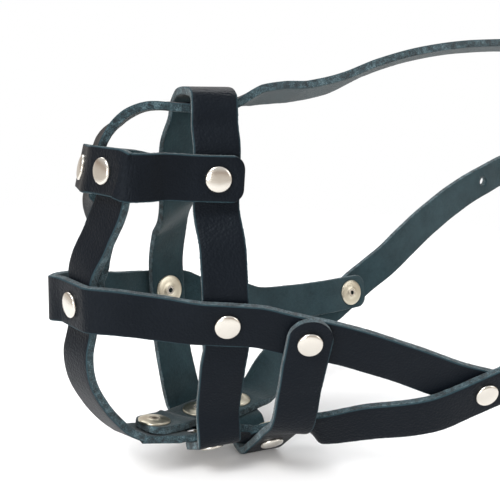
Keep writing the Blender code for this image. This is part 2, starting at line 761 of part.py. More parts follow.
def main():
    clear_scene()
    leather, metal = materials()
    RIVETS["buckle_fold"] = (tuple(near_buckle(12.5, -LAYER / 2)), BUCKLE_OUT, 2)
    routes = {name: route() for name, route in ROUTES.items()}
    for name, route in routes.items():
        strap(name, route, leather, rivet_holes(*CROSSINGS[name]), STRAP_ENDS.get(name, (CORNER, CORNER)))
    tongue = bpy.data.objects["tongue_strap"]
    cut(tongue, punch_holes(routes["tongue_strap"]))
    cut_prong_slot(bpy.data.objects["buckle_strap"])
    keeper(leather)
    buckle_frame(metal)
    buckle_prong(metal)
    for name, (centre, normal, layers) in RIVETS.items():
        rivet(name, centre, normal, layers, metal)


main()
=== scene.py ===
"""The looks of a leather basket muzzle: fine straps with a grain side, a flesh side and rough cut edges,
nickel rivets and buckle, a pale floor and soft light.

Lengths are in millimetres until a mesh is made, where MM turns them to metres. The straps follow the same
routes as the solids in the frame. Camera, floor and lights are in metres.
"""

import json
import math

import bmesh
import bpy
from mathutils import Matrix, Vector, noise

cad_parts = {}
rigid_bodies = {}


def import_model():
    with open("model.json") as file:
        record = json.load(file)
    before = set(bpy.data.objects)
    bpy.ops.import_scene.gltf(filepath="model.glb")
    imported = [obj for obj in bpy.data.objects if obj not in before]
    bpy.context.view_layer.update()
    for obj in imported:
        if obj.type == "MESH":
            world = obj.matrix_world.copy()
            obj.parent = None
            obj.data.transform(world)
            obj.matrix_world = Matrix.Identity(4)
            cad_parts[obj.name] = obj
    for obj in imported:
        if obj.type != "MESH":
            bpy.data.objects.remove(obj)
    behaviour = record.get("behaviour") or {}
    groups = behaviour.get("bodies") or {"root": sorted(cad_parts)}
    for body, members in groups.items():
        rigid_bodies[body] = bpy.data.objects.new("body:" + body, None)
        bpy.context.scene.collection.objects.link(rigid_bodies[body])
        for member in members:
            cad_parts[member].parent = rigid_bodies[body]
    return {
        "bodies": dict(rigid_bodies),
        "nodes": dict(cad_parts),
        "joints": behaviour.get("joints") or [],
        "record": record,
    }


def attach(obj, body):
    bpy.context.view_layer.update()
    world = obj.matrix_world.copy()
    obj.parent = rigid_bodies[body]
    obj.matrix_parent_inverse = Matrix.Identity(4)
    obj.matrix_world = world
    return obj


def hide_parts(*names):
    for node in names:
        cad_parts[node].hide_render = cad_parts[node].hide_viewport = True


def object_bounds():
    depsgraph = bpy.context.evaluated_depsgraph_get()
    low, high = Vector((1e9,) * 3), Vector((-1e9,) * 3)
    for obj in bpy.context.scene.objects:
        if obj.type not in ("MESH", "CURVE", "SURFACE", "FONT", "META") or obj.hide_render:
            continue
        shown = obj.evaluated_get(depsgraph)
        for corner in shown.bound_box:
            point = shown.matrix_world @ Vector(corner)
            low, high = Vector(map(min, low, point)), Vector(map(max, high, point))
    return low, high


MM = 0.001

# Leather and the rivets' seats, as in the solids
WIDTH = 16.0
LEATHER = 3.0
GAP = 0.3
LAYER = LEATHER + GAP
CORNER = 4.5
ROUND_END = 7.9
CAP_RADIUS = 4.6
CAP_HEIGHT = 1.3
POST_RADIUS = 1.7
BORE_RADIUS = 1.0
FLANGE_RADIUS = 6.2
FLANGE_HEIGHT = 0.9
SEAT_GAP = 0.2
FLAT = 8.3
END = 9.0
FOLD_RADIUS = 3.3
KEEPER_WIDTH = 8.0
KEEPER_LEATHER = 2.0
KEEPER_AT = 25.5
PUNCH_RADIUS = 2.3
PUNCH_SPACING = 19.0
PRONG_SLOT = 3.6
SLOT_LENGTH = 5.6

# How finely things are made
STATION = 0.8
ROUND_SIDES = 40
FLAT_POINTS = 9
PUNCH_SIDES = 32
END_STEPS = 9
KEEPER_STEPS = 8
CAP_STEPS = 8
PATH_STEP = 0.5

# How rough the leather is
EDGE_FUZZ = 0.24
EDGE_WAVER = 0.20
FLESH_FUZZ = 0.05
DIMPLE = 0.30
DIMPLE_SPREAD = 1.7
DIMPLE_REACH = 14.0
EDGE_BAND = 0.3

# How far the route is followed each way to see how sharply it bends, and the turn that counts as sharpest
BEND_REACH = 3.0
BEND_FULL = 0.8

# Colours, as linear red, green and blue
GRAIN_DARK, GRAIN_LIGHT = (0.0016, 0.0026, 0.0046), (0.0042, 0.0060, 0.0092)
GRAIN_SCUFFED, GRAIN_WORN = (0.04, 0.05, 0.06), (0.035, 0.070, 0.085)
GRAIN_GLOSS = (0.80, 0.90, 1.0, 1)
FLESH_DARK, FLESH_LIGHT = (0.007, 0.022, 0.028), (0.024, 0.055, 0.066)
EDGE_DARK, EDGE_MIDDLE, EDGE_TORN = (0.004, 0.010, 0.014), (0.026, 0.058, 0.071), (0.14, 0.22, 0.25)
PLATE, FLANGE = (0.68, 0.645, 0.585), (0.62, 0.575, 0.46)
WHITE, FLOOR_WHITE = (1.0, 1.0, 1.0, 1), (0.95, 0.95, 0.95, 1)

# The floor's half side, and the distances between which it fades into the backdrop
FLOOR_REACH = 1.6
FLOOR_FADE = (0.22, 0.55)

# Each light: place, what it points at, size and watts
OBJECT_MIDDLE = (0.08, 0.0, 0.0)
NOSE = (0.0, 0.0, 0.03)
LIGHTS = {
    "key": ((-0.6, -0.25, 1.0), OBJECT_MIDDLE, (0.5, 0.5), 10.0),
    "glance": ((-1.0, -0.75, 0.16), NOSE, (0.9, 0.6), 9.0),
    "fill": ((0.9, -0.9, 0.5), OBJECT_MIDDLE, (0.7, 0.7), 3.0),
    "back": ((0.1, 0.9, 0.9), OBJECT_MIDDLE, (1.2, 0.5), 6.5),
}

# What the object reflects, by the height of the direction, from 0 at the horizon to 1 overhead
ROOM = [
    (0.0, (0.78, 0.73, 0.68)),
    (0.16, (0.42, 0.33, 0.27)),
    (0.34, (0.72, 0.70, 0.68)),
    (0.85, (0.80, 0.81, 0.83)),
]

# The camera, in metres, and its angles in degrees
CAMERA_PLACE = (-0.10336, -0.25088, 0.07732)
CAMERA_AZIMUTH = 26.13
CAMERA_DOWN = 14.18
CAMERA_ROLL = 1.65
CAMERA_LENS = 54.0
CAMERA_SENSOR = 36.0
CAMERA_SHIFT = (0.0092, -0.0030)

OUTER, INNER = 0.5, -0.5
FIRST, MIDDLE, LAST = 1.0, 0.0, -1.0

# Each rivet: the middle of its leather, the way its cap faces, and how many layers it holds
RIVETS = {
    "band_front_near": ((-35.3, -8.4, 39.8), (-0.94, -0.31, 0.12), 2),
    "band_front_far": ((-37.4, 8.8, 38.2), (-0.96, 0.14, 0.22), 2),
    "band_side_near": ((-0.6, -18.0, 37.6), (-0.27, -0.96, 0.0), 2),
    "band_side_far": ((-2.4, 18.2, 33.5), (-0.30, 0.95, 0.0), 2),
    "ring_front": ((-44.4, -3.2, -6.4), (-0.97, -0.24, 0.0), 3),
    "ring_side_near": ((-0.6, -28.3, -11.1), (-0.29, -0.94, -0.18), 2),
    "ring_side_far": ((-1.7, 31.6, -16.7), (-0.29, 0.94, -0.18), 2),
    "chin_top_near": ((26.1, -39.3, -17.4), (-0.34, -0.92, -0.20), 2),
    "chin_top_far": ((25.0, 38.5, -25.5), (-0.25, 0.94, -0.20), 2),
    "cheek_near": ((95.0, -54.5, -42.0), (-0.20, -0.96, -0.20), 2),
    "cheek_far": ((100.6, 48.6, -34.3), (-0.14, 0.96, -0.22), 2),
    "chin_front": ((-18.4, -2.7, -60.3), (-0.14, -0.12, -0.98), 2),
    "loop_bottom_near": ((2.4, -9.2, -65.2), (0.0, -0.45, -0.89), 2),
    "loop_bottom_far": ((3.9, 7.2, -64.1), (0.0, 0.0, -1.0), 2),
    "chin_bottom_near": ((25.1, -15.4, -65.6), (-0.05, -0.70, -0.71), 2),
    "chin_bottom_far": ((23.9, 13.8, -66.4), (0.0, 0.04, -1.0), 2),
    "nape": ((267.8, 0.0, 55.4), (0.6, 0.0, 0.8), 2),
}

# The neck strap's middle line from the far cheek, over the nape, to the near cheek, with its outward directions
NECK_FAR = [
    ((124.8, 51.8, -21.2), (-0.10, 0.97, -0.20)),
    ((150.0, 55.8, -5.0), (-0.05, 0.97, -0.15)),
    ((174.0, 59.0, 8.0), (0.0, 0.99, -0.05)),
    ((192.0, 59.8, 16.0), (0.06, 0.99, 0.04)),
]
NECK_NEAR = [
    ((276.0, -23.0, 41.5), (0.72, -0.48, 0.50)),
    ((258.0, -41.0, 36.5), (0.58, -0.74, 0.32)),
    ((232.0, -53.5, 29.0), (0.35, -0.91, 0.18)),
    ((205.0, -60.5, 19.5), (0.15, -0.98, 0.08)),
    ((176.0, -63.0, 6.0), (0.03, -0.99, -0.04)),
    ((148.0, -61.5, -10.5), (-0.05, -0.98, -0.14)),
    ((120.0, -58.5, -28.0), (-0.12, -0.97, -0.20)),
]
NAPE_PLACE, NAPE_OUT, NAPE_ALONG = (283.0, 0.0, 44.0), (0.6, 0.0, 0.8), (0.8, 0.0, -0.6)

# The buckle: where the strap crosses its hinge bar, outward, and along the strap towards the nape
BUCKLE_PLACE, BUCKLE_OUT, BUCKLE_ALONG = (230.0, 53.0, 28.0), (0.34, 0.92, 0.18), (0.90, -0.38, 0.24)


def vector(values):
    return Vector(values)


def rivet_point(name, layer):
    """The middle of one leather layer under a rivet."""
    centre, normal, _ = RIVETS[name]
    return vector(centre) + vector(normal).normalized() * layer * LAYER


def free(x, y, z, normal):
    return [(vector((x, y, z)), vector(normal), None)]


def seat(name, layer, along, before=FLAT, after=FLAT, aside=0.0):
    """A flat stretch of strap under a rivet, running along the given direction."""
    normal = vector(RIVETS[name][1]).normalized()
    along = vector(along)
    along = (along - normal * along.dot(normal)).normalized()
    middle = rivet_point(name, layer) + along.cross(normal) * aside
    return [(middle - along * before, normal, along), (middle + along * after, normal, along)]


class Route:
    """A smooth line through a strap's points, with the way its grain side faces."""

    def __init__(self, *groups):
        points = [point for group in groups for point in group]
        places = [point[0] for point in points]
        directions = []
        for index, (place, _, along) in enumerate(points):
            before = places[max(index - 1, 0)]
            after = places[min(index + 1, len(places) - 1)]
            directions.append(along or (after - before).normalized())
        self.samples = []
        length = 0.0
        for index in range(len(points) - 1):
            start, end = places[index], places[index + 1]
            chord = (end - start).length
            count = max(2, round(chord / PATH_STEP))
            for step in range(count + (index == len(points) - 2)):
                u = step / count
                place = self.hermite(start, end, directions[index] * chord, directions[index + 1] * chord, u)
                normal = points[index][1].normalized().lerp(points[index + 1][1].normalized(), u)
                if self.samples:
                    length += (place - self.samples[-1][1]).length
                self.samples.append((length, place, normal))
        self.length = length

    @staticmethod
    def hermite(start, end, leave, arrive, u):
        return (
            start * (2 * u**3 - 3 * u**2 + 1)
            + leave * (u**3 - 2 * u**2 + u)
            + end * (3 * u**2 - 2 * u**3)
            + arrive * (u**3 - u**2)
        )

    def at(self, distance):
        """Place, direction and grain-side normal at a distance along the route."""
        distance = min(max(distance, 0.0), self.length)
        index = 1
        while index < len(self.samples) - 1 and self.samples[index][0] < distance:
            index += 1
        (low, start, first), (high, end, second) = self.samples[index - 1], self.samples[index]
        share = (distance - low) / max(high - low, 1e-9)
        along = (end - start).normalized()
        normal = first.lerp(second, share)
        normal = (normal - along * normal.dot(along)).normalized()
        return start.lerp(end, share), along, normal

    def nearest(self, place):
        return min(self.samples, key=lambda sample: (sample[1] - vector(place)).length)[0]


def frame_of(place, out, along):
    """Axes at a place: across, along and outward."""
    out = vector(out).normalized()
    along = vector(along)
    along = (along - out * along.dot(out)).normalized()
    return vector(place), along, out, along.cross(out)


def near_buckle(distance, height, aside=0.0):
    place, along, out, across = frame_of(BUCKLE_PLACE, BUCKLE_OUT, BUCKLE_ALONG)
    return place + along * distance + out * height + across * aside


def by_buckle(distance, height, slope=0.0, back=False):
    """A strap point by the buckle: its slope is how fast it rises outward."""
    _, along, out, _ = frame_of(BUCKLE_PLACE, BUCKLE_OUT, BUCKLE_ALONG)
    turn = -1 if back else 1
    direction = (along + out * slope).normalized()
    return [(near_buckle(distance, height), (out - along * slope).normalized(), direction * turn)]


def by_nape(distance, height, back=False):
    place, along, out, _ = frame_of(NAPE_PLACE, NAPE_OUT, NAPE_ALONG)
    turn = -1 if back else 1
    return [(place + along * distance + out * height, out * turn, along * turn)]


def fold(middle, along, out):
    """A half turn round a middle: it leaves on the outward side and comes back on the other."""
    points = []
    for step in range(5):
        angle = math.pi * step / 4
        up, ahead = math.cos(angle), math.sin(angle)
        normal = out * up + along * ahead
        points.append((middle + normal * FOLD_RADIUS, normal, along * up - out * ahead))
    return points


def nose_band_route():
    return Route(
        seat("band_side_near", OUTER, (-0.95, 0.27, 0.03), before=END),
        free(-19.0, -17.2, 38.7, (-0.20, -0.98, 0.0)),
        free(-26.5, -19.3, 39.0, (-0.30, -0.95, 0.0)),
        free(-33.0, -19.0, 39.3, (-0.70, -0.71, 0.08)),
        seat("band_front_near", OUTER, (-0.31, 0.95, -0.03), before=7.5, after=6.6),
        seat("band_front_far", OUTER, (0.14, 0.99, -0.05), before=6.0, after=9.4),
        free(-31.6, 21.6, 36.6, (-0.50, 0.86, 0.1)),
        free(-18.0, 20.9, 35.0, (-0.15, 0.98, 0.0)),
        seat("band_side_far", OUTER, (0.95, 0.30, -0.03), after=END),
    )


def ring_route():
    return Route(
        seat("cheek_near", INNER, (-0.95, 0.25, 0.33), before=END),
        free(62.0, -47.6, -28.6, (-0.27, -0.94, -0.25)),
        seat("chin_top_near", INNER, (-0.92, 0.32, 0.24)),
        seat("ring_side_near", OUTER, (-0.95, 0.30, 0.09)),
        free(-24.5, -21.8, -8.4, (-0.38, -0.92, -0.05)),
        free(-37.0, -17.8, -6.4, (-0.54, -0.84, -0.04)),
        free(-44.6, -13.6, -6.0, (-0.80, -0.60, -0.02)),
        seat("ring_front", FIRST, (-0.24, 0.97, -0.04), before=6.5, after=7.0),
        free(-51.8, 11.0, -8.0, (-0.95, 0.30, 0.0)),
        free(-44.0, 19.5, -9.4, (-0.50, 0.87, 0.0)),
        free(-24.0, 24.6, -13.2, (-0.28, 0.95, -0.05)),
        seat("ring_side_far", OUTER, (0.95, 0.28, -0.16)),
        seat("chin_top_far", INNER, (0.96, 0.20, -0.22)),
        free(48.0, 41.2, -32.2, (-0.20, 0.96, -0.22)),
        free(72.0, 44.3, -34.0, (-0.16, 0.96, -0.22)),
        seat("cheek_far", INNER, (0.99, 0.13, 0.02), after=END),
    )


def loop_route():
    return Route(
        seat("loop_bottom_near", OUTER, (0.0, -0.89, 0.45), before=7.0, after=7.0),
        free(1.6, -19.2, -60.4, (-0.14, -0.96, -0.22)),
        free(0.8, -19.6, -48.5, (-0.2, -0.96, -0.12)),
        free(0.2, -24.0, -30.0, (-0.28, -0.95, -0.12)),
        seat("ring_side_near", INNER, (-0.02, 0.18, 0.98)),
        free(-0.5, -23.4, 14.0, (-0.30, -0.95, 0.1)),
        seat("band_side_near", INNER, (0.02, 0.05, 1.0)),
        free(0.2, -13.2, 55.2, (-0.28, -0.92, 0.28)),
        free(0.6, -11.6, 61.0, (-0.20, -0.84, 0.50)),
        free(1.5, -8.4, 64.9, (-0.08, -0.42, 0.90)),
        free(2.7, 0.2, 65.9, (0.0, 0.0, 1.0)),
        free(2.3, 9.3, 64.5, (0, 0.48, 0.88)),
        free(1.6, 12.8, 60.2, (-0.04, 0.88, 0.47)),
        free(1.0, 13.9, 54.6, (-0.12, 0.95, 0.28)),
        seat("band_side_far", INNER, (0.0, 0.03, -1.0)),
        free(-1.0, 27.8, 10.0, (-0.30, 0.95, 0.0)),
        seat("ring_side_far", INNER, (-0.02, -0.18, -0.98)),
        free(-0.6, 25.6, -38.0, (-0.25, 0.92, -0.28)),
        free(0.2, 21.4, -49.0, (-0.2, 0.90, -0.36)),
        free(2.6, 20.1, -61.2, (-0.03, 0.90, -0.42)),
        seat("loop_bottom_far", OUTER, (0.0, -1.0, 0.0), before=9.6, after=4.4),
    )


def chin_route():
    return Route(
        seat("chin_top_near", OUTER, (-0.05, 0.18, -0.98), before=END),
        free(25.0, -36.8, -36.0, (-0.25, -0.93, -0.24)),
        free(25.2, -32.0, -53.4, (-0.30, -0.86, -0.40)),
        seat("chin_bottom_near", OUTER, (0.0, 0.68, -0.73)),
        free(24.4, -6.4, -75.0, (0.0, -0.35, -0.94)),
        free(24.2, 1.0, -73.0, (0.0, 0.40, -0.92)),
        seat("chin_bottom_far", OUTER, (0.0, 1.0, 0.04), after=10.0),
        free(24.8, 32.0, -53.6, (-0.15, 0.85, -0.5)),
        free(25.2, 37.3, -40.0, (-0.20, 0.92, -0.3)),
        seat("chin_top_far", OUTER, (0.03, 0.18, 0.98), after=END),
    )


def forehead_route():
    place, along, out, _ = frame_of(NAPE_PLACE, NAPE_OUT, NAPE_ALONG)
    return Route(
        seat("ring_front", LAST, (0.10, 0.10, 1.0), before=END, after=8.0),
        free(-38.9, -0.9, 6.5, (-0.965, -0.24, 0.0)),
        free(-34.2, 5.0, 18.0, (-0.96, -0.18, 0.0)),
        seat("band_front_far", INNER, (0.22, 0.04, 1.0), before=8.6, after=8.0, aside=-1.3),
        free(-29.0, 7.2, 53.4, (-0.73, 0.33, 0.59)),
        free(-24.4, 5.2, 57.8, (-0.47, 0.28, 0.83)),
        free(-18.6, 2.8, 60.3, (-0.21, 0.17, 0.96)),
        free(-10.0, 1.0, 60.4, (-0.04, 0.03, 1.0)),
        free(2.5, 0.2, 60.2, (0.0, 0.0, 1.0)),
        free(11.5, 0.2, 61.4, (-0.12, 0.06, 0.99)),
        free(22.0, -0.3, 64.4, (-0.20, 0.38, 0.88)),
        free(31.0, -0.5, 65.5, (-0.06, 0.42, 0.91)),
        free(40.0, -0.4, 66.0, (-0.12, 0.38, 0.92)),
        free(55.0, -0.4, 69.0, (-0.25, 0.40, 0.88)),
        free(72.0, 0.0, 75.4, (-0.27, 0.32, 0.91)),
        free(93.0, 0.0, 81.0, (-0.17, 0.25, 0.95)),
        free(120.0, 0.2, 84.8, (-0.08, 0.18, 0.98)),
        free(160.0, 1.4, 86.0, (0.03, 0.12, 0.99)),
        free(200.0, 2.0, 81.6, (0.20, 0.0, 0.98)),
        free(236.0, 1.0, 71.0, (0.38, 0.0, 0.92)),
        seat("nape", OUTER, NAPE_ALONG, before=8.0, after=6.5),
        by_nape(-8.8, LAYER),
        fold(place + along * 8.2, along, out),
        by_nape(-8.8, -LAYER, back=True),
        [(rivet_point("nape", INNER) + along * 6.5, -out, -along)],
        [(rivet_point("nape", INNER) - along * 8.0, -out, -along)],
    )


def tongue_route():
    """The far strap: from under the chin, past the cheek, through the buckle, to its tip."""
    neck = [free(*place, normal) for place, normal in NECK_FAR]
    return Route(
        seat("chin_front", INNER, (0.94, 0.34, -0.10), before=5.2, after=7.0),
        free(-7.6, 1.6, -60.2, (-0.05, -0.05, -0.99)),
        seat("loop_bottom_far", INNER, (0.94, 0.34, 0.0), after=9.8),
        seat("chin_bottom_far", INNER, (0.93, 0.34, 0.14), after=9.0),
        free(50.0, 30.0, -58.4, (-0.12, 0.76, -0.62)),
        free(77.0, 46.0, -46.4, (-0.15, 0.94, -0.28)),
        seat("cheek_far", OUTER, (0.88, 0.22, 0.44), aside=-1.2),
        *neck,
        by_buckle(-18.5, -1.0),
        by_buckle(-12.5, -1.0),
        by_buckle(-8.5, 0.5, slope=0.42),
        by_buckle(-3.2, 2.7, slope=0.38),
        by_buckle(1.5, 3.9, slope=0.16),
        by_buckle(8.0, 5.0),
        by_buckle(17.0, 5.0),
        by_buckle(21.6, 3.4),
        by_buckle(38.0, 3.4),
        free(277.0, 30.2, 42.5, (0.68, 0.60, 0.42)),
    )


def buckle_route():
    """The long strap: down the front, under the chin, past the near cheek, over the nape, to the buckle."""
    place, along, out, across = frame_of(NAPE_PLACE, NAPE_OUT, NAPE_ALONG)
    neck = [free(*point, normal) for point, normal in reversed(NECK_NEAR)]
    _, towards, outward, _ = frame_of(BUCKLE_PLACE, BUCKLE_OUT, BUCKLE_ALONG)
    return Route(
        seat("band_front_near", INNER, (-0.20, 0.04, -0.97), before=7.2, after=8.6, aside=-1.3),
        free(-38.8, -6.2, 18.0, (-0.96, -0.26, 0.0)),
        seat("ring_front", MIDDLE, (-0.10, 0.02, -1.0)),
        free(-46.6, -3.8, -25.0, (-0.95, -0.29, -0.02)),
        free(-45.4, -3.7, -35.0, (-0.92, -0.30, -0.2)),
        free(-40.9, -3.5, -44.8, (-0.80, -0.30, -0.52)),
        free(-35.3, -3.4, -52.8, (-0.66, -0.30, -0.68)),
        free(-29.4, -3.3, -58.6, (-0.45, -0.28, -0.85)),
        seat("chin_front", OUTER, (0.97, -0.14, -0.12), before=6.0, after=9.0),
        seat("loop_bottom_near", INNER, (0.96, -0.28, 0.14), before=6.5, aside=1.5),
        seat("chin_bottom_near", INNER, (0.92, -0.36, 0.22), before=7.0, after=11.5),
        free(41.0, -25.6, -61.2, (-0.14, -0.95, -0.3)),
        free(56.0, -36.0, -56.4, (-0.18, -0.965, -0.16)),
        free(74.0, -49.2, -50.9, (-0.20, -0.965, -0.17)),
        seat("cheek_near", OUTER, (0.88, -0.28, 0.38)),
        *neck,
        [(place + across * 10.5, out, -across)],
        [(place - across * 10.5, out, -across)],
        free(273.5, 26.5, 41.0, (0.66, 0.62, 0.42)),
        by_buckle(38.0, 0.0, back=True),
        by_buckle(4.0, 0.0, back=True),
        fold(near_buckle(0.0, -FOLD_RADIUS), -towards, outward),
        [(near_buckle(6.5, -LAYER), -outward, towards)],
        [(near_buckle(19.8, -LAYER), -outward, towards)],
    )


ROUTES = {
    "nose_band": nose_band_route,
    "side_ring": ring_route,
    "snout_loop": loop_route,
    "chin_strap": chin_route,
    "forehead_strap": forehead_route,
    "tongue_strap": tongue_route,
    "buckle_strap": buckle_route,
}

# The rivets that go through each strap, and the layer that the strap is there
CROSSINGS = {
    "nose_band": [
        ("band_side_near", OUTER),
        ("band_front_near", OUTER),
        ("band_front_far", OUTER),
        ("band_side_far", OUTER),
    ],
    "side_ring": [
        ("cheek_near", INNER),
        ("chin_top_near", INNER),
        ("ring_side_near", OUTER),
        ("ring_front", FIRST),
        ("ring_side_far", OUTER),
        ("chin_top_far", INNER),
        ("cheek_far", INNER),
    ],
    "snout_loop": [
        ("loop_bottom_near", OUTER),
        ("ring_side_near", INNER),
        ("band_side_near", INNER),
        ("band_side_far", INNER),
        ("ring_side_far", INNER),
        ("loop_bottom_far", OUTER),
    ],
    "chin_strap": [
        ("chin_top_near", OUTER),
        ("chin_bottom_near", OUTER),
        ("chin_bottom_far", OUTER),
        ("chin_top_far", OUTER),
    ],
    "forehead_strap": [("ring_front", LAST), ("band_front_far", INNER), ("nape", OUTER), ("nape", INNER)],
    "tongue_strap": [
        ("chin_front", INNER),
        ("loop_bottom_far", INNER),
        ("chin_bottom_far", INNER),
        ("cheek_far", OUTER),
    ],
    "buckle_strap": [
        ("band_front_near", INNER),
        ("ring_front", MIDDLE),
        ("chin_front", OUTER),
        ("loop_bottom_near", INNER),
        ("chin_bottom_near", INNER),
        ("cheek_near", OUTER),
        ("buckle_fold", OUTER),
        ("buckle_fold", INNER),
    ],
}

# Corner radii at a strap's two ends, where they differ from CORNER
STRAP_ENDS = {
    "snout_loop": (1.0, 1.0),
    "chin_strap": (ROUND_END, ROUND_END),
    "tongue_strap": (5.0, ROUND_END),
}


def profile(half, thickness):
    """The strap's section: (across, height, zone) round it, starting at the +across end of the grain side."""
    rise = thickness / 2
    inner = max(half - 0.55, 0.2)
    flat = [inner * (1 - 2 * step / (FLAT_POINTS - 1)) for step in range(FLAT_POINTS)]
    cut = [0.28, 0.1, -0.1, -0.28]
    section = [(a, rise, "grain") for a in flat]
    section += [(-half + 0.16, rise - 0.1, "grain"), (-half, rise - 0.34, "edge")]
    section += [(-half, thickness * share, "edge") for share in cut]
    section += [(-half, -rise + 0.3, "edge"), (-half + 0.2, -rise + 0.05, "flesh")]
    section += [(-a, -rise, "flesh") for a in flat]
    section += [(half - 0.2, -rise + 0.05, "edge"), (half, -rise + 0.3, "edge")]
    section += [(half, -thickness * share, "edge") for share in cut]
    section += [(half, rise - 0.34, "grain"), (half - 0.16, rise - 0.1, "grain")]
    return section


def dimple(point, normal, spots):
    """How far the leather is pressed in round the rivets nearby."""
    depth = 0.0
    for centre, axis, radius in spots:
        offset = point - centre
        if offset.length > DIMPLE_REACH:
            continue
        away = (offset - axis * offset.dot(axis)).length
        depth = max(depth, DIMPLE * math.exp(-((max(away - radius, 0.0) / DIMPLE_SPREAD) ** 2)))
    return depth


def section_points(place, along, normal, half, thickness, spots, seed):
    """One ring of a strap: points, zones and (across, height) of each."""
    across = along.cross(normal)
    ring = []
    for a, h, zone in profile(half, thickness):
        point = place + across * a + normal * h
        side = math.copysign(1.0, a)
        if abs(a) > half - EDGE_BAND:
            waver = noise.noise(point * 0.09 + Vector((seed, side * 7, 0))) * EDGE_WAVER
            fuzz = noise.noise(point * 1.7 + Vector((0, seed, 0))) * EDGE_FUZZ
            point += across * side * (waver + fuzz * (1.0 if abs(h) < thickness * 0.35 else 0.4))
        if zone == "flesh":
            point -= normal * noise.noise(point * 1.1 + Vector((0, 0, seed))) * FLESH_FUZZ
        pressed = dimple(point, normal, spots)
        point -= normal * math.copysign(pressed, h)
        ring.append((point, zone, (a, h)))
    return ring


def end_steps(corner):
    """A rounded end's stations: distance from the tip, and how much narrower each side is there."""
    angles = [math.pi / 2 * step / END_STEPS for step in range(END_STEPS + 1)]
    return [(corner * (1 - math.cos(a)), corner * (1 - math.sin(a))) for a in angles]


def bend_at(route, distance):
    """How sharply the route bends, from 0 to 1."""
    before, after = route.at(distance - BEND_REACH)[1], route.at(distance + BEND_REACH)[1]
    return min(before.angle(after, 0.0) / BEND_FULL, 1.0)


def strap_rings(route, corners, seed, spots):
    """The rings of a strap from tip to tip, closer together where an end is rounded."""
    stations = end_steps(corners[0])
    first, last = corners[0], route.length - corners[1]
    count = round((last - first) / STATION)
    stations += [(first + (last - first) * step / count, 0.0) for step in range(1, count)]
    stations += [(route.length - distance, shrink) for distance, shrink in reversed(end_steps(corners[1]))]
    rings = []
    for distance, shrink in stations:
        place, along, normal = route.at(distance)
        ring = section_points(place, along, normal, WIDTH / 2 - shrink, LEATHER, spots, seed)
        rings.append((distance, bend_at(route, distance), ring))
    return rings


def skin(name, rings, stuff, closed=False):
    """Joins the rings to a mesh with a material for each zone, a UV map of along and across, and the bend."""
    size = len(rings[0][2])
    zones = ["grain", "edge", "flesh"]
    mesh = bpy.data.meshes.new(name)
    points = [point * MM for _, _, ring in rings for point, _, _ in ring]
    faces = []
    marks = []
    for index in range(len(rings) - (not closed)):
        here, there = index * size, (index + 1) % len(rings) * size
        for corner in range(size):
            other = (corner + 1) % size
            faces.append((here + corner, there + corner, there + other, here + other))
            marks.append(zones.index(rings[index][2][corner][1]))
    if not closed:
        faces.append(tuple(range(size)))
        faces.append(tuple(reversed(range(len(points) - size, len(points)))))
        marks += [1, 1]
    mesh.from_pydata(points, [], faces)
    for zone in zones:
        mesh.materials.append(stuff[zone])
    mesh.polygons.foreach_set("material_index", marks)
    spread = [(distance * MM, a * MM) for distance, _, ring in rings for _, _, (a, _) in ring]
    uv = mesh.uv_layers.new(name="strap")
    for loop in mesh.loops:
        uv.data[loop.index].uv = spread[loop.vertex_index]
    bend = mesh.attributes.new("bend", "FLOAT", "POINT")
    bend.data.foreach_set("value", [value for _, value, ring in rings for _ in ring])
    side = mesh.attributes.new("side", "FLOAT", "POINT")
    side.data.foreach_set("value", [abs(a) / (WIDTH / 2) for _, _, ring in rings for _, _, (a, _) in ring])
    return finished(name, mesh)


def finished(name, mesh):
    """Turns the faces outward, smooths all but the sharp edges, and puts the mesh in the scene."""
    work = bmesh.new()
    work.from_mesh(mesh)
    bmesh.ops.recalc_face_normals(work, faces=work.faces)
    work.to_mesh(mesh)
    work.free()
    mesh.shade_smooth()
    mesh.set_sharp_from_angle(angle=math.radians(50))
    obj = bpy.data.objects.new(name, mesh)
    bpy.context.scene.collection.objects.link(obj)
    return obj


def prism(name, points, faces, stuff):
    """A cutter, whose walls are cut leather."""
    mesh = bpy.data.meshes.new(name)
    mesh.from_pydata([point * MM for point in points], [], faces)
    mesh.materials.append(stuff["edge"])
    return finished(name, mesh)


def subtract(obj, cutter):
    """Applies a cut, which gives its walls the cutter's material, and removes the cutter."""
    modifier = obj.modifiers.new("cut", "BOOLEAN")
    modifier.operation = "DIFFERENCE"
    modifier.solver = "EXACT"
    modifier.material_mode = "TRANSFER"
    modifier.object = cutter
    graph = bpy.context.evaluated_depsgraph_get()
    mesh = bpy.data.meshes.new_from_object(obj.evaluated_get(graph), depsgraph=graph)
    obj.modifiers.clear()
    obj.data = mesh
    bpy.data.objects.remove(cutter)


def punch(obj, holes, stuff):
    """Cuts round holes and slots through a strap."""
    sides = PUNCH_SIDES
    points = []
    faces = []
    for place, axis, radius, slot, along in holes:
        across = axis.cross(along)
        base = len(points)
        for end in (-1, 1):
            for turn in range(sides):
                angle = math.tau * (turn + 0.5) / sides
                reach = math.copysign(slot / 2, math.cos(angle))
                flat = along * (radius * math.cos(angle) + reach) + across * radius * math.sin(angle)
                points.append(place + flat + axis * end * (LEATHER / 2 + 0.25))
        faces += [
            (base + s, base + (s + 1) % sides, base + sides + (s + 1) % sides, base + sides + s)
            for s in range(sides)
        ]
        faces.append(tuple(base + s for s in reversed(range(sides))))
        faces.append(tuple(base + sides + s for s in range(sides)))
    subtract(obj, prism(obj.name + "_punch", points, faces, stuff))


